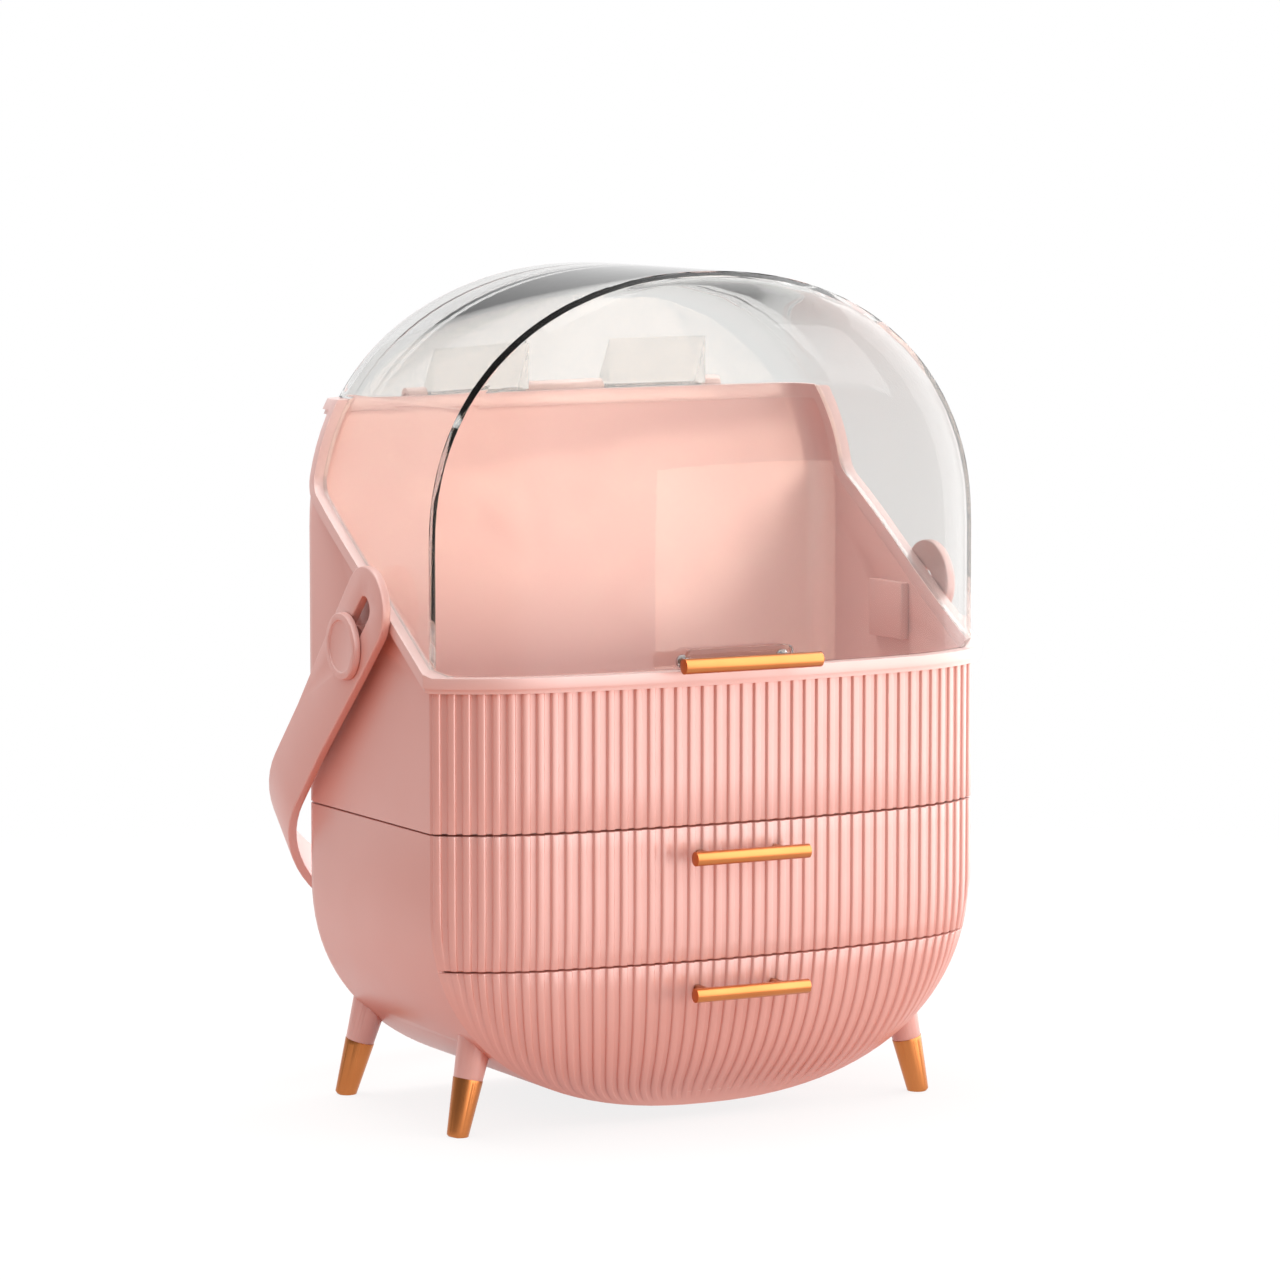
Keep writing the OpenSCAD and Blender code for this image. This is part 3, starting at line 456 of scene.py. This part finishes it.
def fluted_front(name, levels, low_flange, body):
    """A front of even thickness: fluted outside, smooth inside, with flanges that reach back."""
    low, high = levels[0], levels[-1]
    outer = [(z, 0.0) for z in levels[1:-1]]
    inner = [(z, 0.0) for z in levels if low + WALL < z < high - WALL]
    # the level without a sink is the back edge of a flange, or the pointed end of the bowl
    outer = [(low, None)] + (lip(low, 1) if low_flange else []) + outer
    inner = [(low + WALL, None)] + ([(low + WALL, 0.0)] if low_flange else []) + inner
    outer += lip(high, -1)[::-1] + [(high, None)]
    inner += [(high - WALL, 0.0), (high - WALL, None)]
    shape = bmesh.new()
    skin(shape, FLUTES * FLUTE_STEPS, outer, fluted_place)
    skin(shape, PLAIN_STEPS, inner, lambda step, z, sink: plain_place(step, z, sink, WALL))
    bmesh.ops.remove_doubles(shape, verts=shape.verts, dist=2 * WELD)
    bmesh.ops.dissolve_degenerate(shape, edges=shape.edges, dist=2 * WELD)
    # the flat edge all round the open back
    bmesh.ops.triangle_fill(shape, use_beauty=True, normal=(0, 1, 0),
                            edges=[e for e in shape.edges if e.is_boundary])
    bmesh.ops.recalc_face_normals(shape, faces=shape.faces)
    settle(f"{name}_fluted_front", shape, pink_plastic, body, f"{name}_front",
           FINE_CREASE)


UPPER_ROWS, LOWER_ROWS = 8, 20
# the rows of the bowl follow the egg, in even steps of the angle from its lowest level
LOWEST_ANGLE, ROW_ANGLE = 84, 3.2
upper_levels = [SPLIT_Z + JOINT_GAP / 2 + row / UPPER_ROWS * (JOINT_Z - SPLIT_Z - JOINT_GAP)
                for row in range(UPPER_ROWS + 1)]
lower_levels = [
    WIDEST_Z - EGG_DROP * math.sin(math.radians(LOWEST_ANGLE - ROW_ANGLE * row)) ** (2 / EGG_FULL)
    for row in range(LOWER_ROWS + 1)]
lower_levels = [z for z in lower_levels if z < SPLIT_Z - 0.002] + [SPLIT_Z - JOINT_GAP / 2]
fluted_front("upper", upper_levels, True, "drawer_upper")
fluted_front("lower", lower_levels, False, "drawer_lower")
for part in ("upper", "lower"):
    body = f"drawer_{part}"
    cast(f"{part}_tray_box", f"{part}_box", rim_plastic, body, 0.0004)
    cast(f"{part}_front_screws", f"{part}_box_screws", bright_steel, body, 0.0002)

# --- Carry handle: a U-shaped strap of the pink plastic with slotted ears, held by two round
# --- buttons whose pins turn in the walls.

cast("strap_washers", "pivot_spacers", pink_plastic, "case", 0.0003)
cast("pin_keepers", "pivot_retainers", pink_plastic, "case", 0.0004)
cast("handle_buttons", "handle_pivots", pink_plastic, "handle_pins", 0.0006, 3)
cast("carry_strap", "handle_strap", pink_plastic, "handle", 0.0007, 3)

# --- Studio: a white paper floor that keeps the soft shadow, and softboxes to the right, in
# --- front and above. The room is white to the eye, and mirrors as a curtain and a window.

FLOOR_HALF, FADE_FROM, FADE_TO = 4.0, 0.35, 0.9
sweep = bmesh.new()
bmesh.ops.create_grid(sweep, x_segments=1, y_segments=1, size=FLOOR_HALF)
floor_mesh = bpy.data.meshes.new("floor")
sweep.to_mesh(floor_mesh)
sweep.free()
floor = bpy.data.objects.new("floor", floor_mesh)
bpy.context.scene.collection.objects.link(floor)


def paper_finish():
    """Pale warm paper that fades into the white of the studio away from the object."""
    paper = Finish("pale paper")
    path = paper.node("ShaderNodeLightPath")
    seen = paper.maths("MAXIMUM", path["Is Camera Ray"], path["Is Glossy Ray"])
    seen = paper.maths("MAXIMUM", seen, path["Is Transmission Ray"])
    lit = path["Diffuse Depth"] > 0.5
    seen = seen * (1 - lit)
    away = paper.node("ShaderNodeVectorMath", {"operation": "LENGTH"},
                      {0: paper.node("ShaderNodeTexCoord", out="Object")}, "Value")
    fade = paper.node("ShaderNodeMapRange", {"interpolation_type": "SMOOTHSTEP"},
                      {"Value": away, "From Min": FADE_FROM, "From Max": FADE_TO})
    # what the floor throws back on the object is warmer than what the camera sees of it
    matt = paper.node("ShaderNodeBsdfDiffuse", None, {
        "Color": paper.blend(lit, srgb(248, 240, 237), srgb(206, 112, 78))})
    glow = paper.node("ShaderNodeEmission", None, {"Color": (1, 1, 1, 1), "Strength": 1.05})
    open_air = paper.node("ShaderNodeBsdfTransparent")
    near = paper.node("ShaderNodeMixShader", None, {0: seen * 0.8, 1: matt, 2: glow})
    far = paper.node("ShaderNodeMixShader", None, {0: fade * seen, 1: near, 2: open_air})
    paper.node("ShaderNodeOutputMaterial", None, {"Surface": far})
    return paper.material


floor_mesh.materials.append(paper_finish())

world = bpy.data.worlds.new("studio")
bpy.context.scene.world = world
world.use_nodes = True
sky = Finish(tree=world.node_tree)
world.cycles.sampling_method = "NONE"
AMBIENT = 0.76


def glimpse(towards, edge, full, dark, bright):
    """Part of the room that only mirrors show: brighter towards a direction."""
    turned = sky.node("ShaderNodeVectorMath", {"operation": "DOT_PRODUCT"}, {
        0: sky.node("ShaderNodeTexCoord", out="Generated"), 1: towards}, "Value")
    return sky.node("ShaderNodeMapRange", {"interpolation_type": "SMOOTHSTEP"}, {
        "Value": turned, "From Min": edge, "From Max": full, "To Min": dark, "To Max": bright})


path = sky.node("ShaderNodeLightPath")
# light that a dull surface has gathered, also through the clear lid
lit = path["Diffuse Depth"] > 0.5
seen = sky.maths("MAXIMUM", path["Is Camera Ray"], path["Is Transmission Ray"])
# a curtain to the left and behind the camera gives the metal something dark to mirror
curtain = glimpse((0.78, 0.42, 0.46), -0.7, 0.5, 0.25, 1.0)
# a broad window to the right lays the pale sheen on the front
window = glimpse((0.82, -0.45, 0.35), 0.15, 0.65, 0.0, 3.0)
mirrored = (path["Is Glossy Ray"] > path["Is Transmission Ray"]) * (curtain + window)
backdrop = sky.node("ShaderNodeBackground", None, {
    "Color": (1, 1, 1, 1),
    "Strength": (1 - lit) * sky.maths("MAXIMUM", seen, mirrored) + AMBIENT * lit})
sky.node("ShaderNodeOutputWorld", None, {"Surface": backdrop})


def lamp(name, place, aim, size, power, colour=(1.0, 1.0, 1.0)):
    """A square softbox, which lights the object but is not mirrored in it."""
    light = bpy.data.lights.new(name, "AREA")
    light.shape, light.size, light.energy, light.color = "SQUARE", size, power, colour
    box = bpy.data.objects.new(name, light)
    bpy.context.scene.collection.objects.link(box)
    box.location = place
    box.visible_glossy = False
    box.rotation_euler = (Vector(aim) - Vector(place)).to_track_quat("-Z", "Y").to_euler()


lamp("key", (1.5, -1.3, 1.0), (0, 0, 0.2), 0.6, 6)
lamp("side", (1.9, 0.3, 0.7), (0, 0, 0.2), 1.6, 22)
lamp("bounce", (0.7, -1.3, 0.06), (0, 0, 0.05), 0.5, 7, (1.0, 0.76, 0.62))
lamp("top", (-0.2, 0.3, 2.0), (0, 0, 0.2), 1.0, 14)

# --- Camera: a long lens from the front left, slightly above. The whole case stands in the
# --- middle of the frame.

AIM = Vector((-0.01592, -0.05668, 0.20209))
AWAY, DISTANCE = Vector((-0.4683, -0.8774, 0.1043)), 2.366
lens = bpy.data.cameras.new("camera")
lens.sensor_width, lens.lens = 36.0, 156.7
camera = bpy.data.objects.new("camera", lens)
bpy.context.scene.collection.objects.link(camera)
camera.location = AIM + DISTANCE * AWAY
camera.rotation_euler = (-AWAY).to_track_quat("-Z", "Y").to_euler()
bpy.context.scene.camera = camera
bpy.context.scene.view_settings.view_transform = "Standard"
